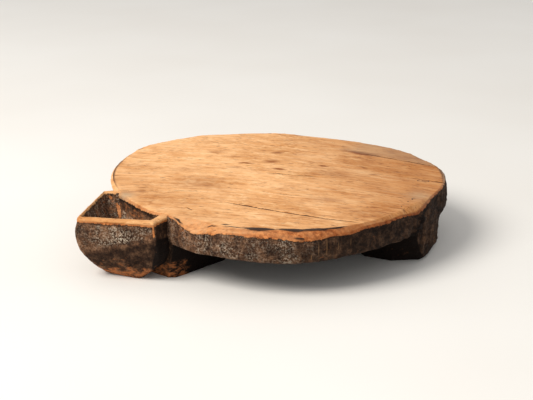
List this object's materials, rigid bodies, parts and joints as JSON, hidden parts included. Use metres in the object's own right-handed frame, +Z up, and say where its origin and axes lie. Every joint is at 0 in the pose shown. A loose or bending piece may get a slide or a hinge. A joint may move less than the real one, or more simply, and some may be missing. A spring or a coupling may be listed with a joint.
{
  "type": "headrest",
  "caption": "Low round carved-wood headrest: a thick oval slab with a flat worn top on low feet, with a hollow square-cornered cup at its rim.",
  "frame": {"origin": "bottom centre of the whole headrest's box, on the surface that it stands on", "axes": "+X to the right, with the cup at the front left; +Y to the back; +Z up, out of the flat top"},
  "size_m": [0.3157, 0.2957, 0.054],
  "materials": {
    "worn_wood": "light tan-orange wood, worn smooth on top by use, with a dark aged rim",
    "dark_wood": "dark brown-black aged and charred wood, rough, worn to orange on its edges"
  },
  "bodies": {
    "root": {"headrest_slab": "worn_wood", "side_cup": "dark_wood", "cup_foot": "dark_wood", "right_foot": "dark_wood", "rear_foot": "dark_wood"}
  },
  "joints": []
}
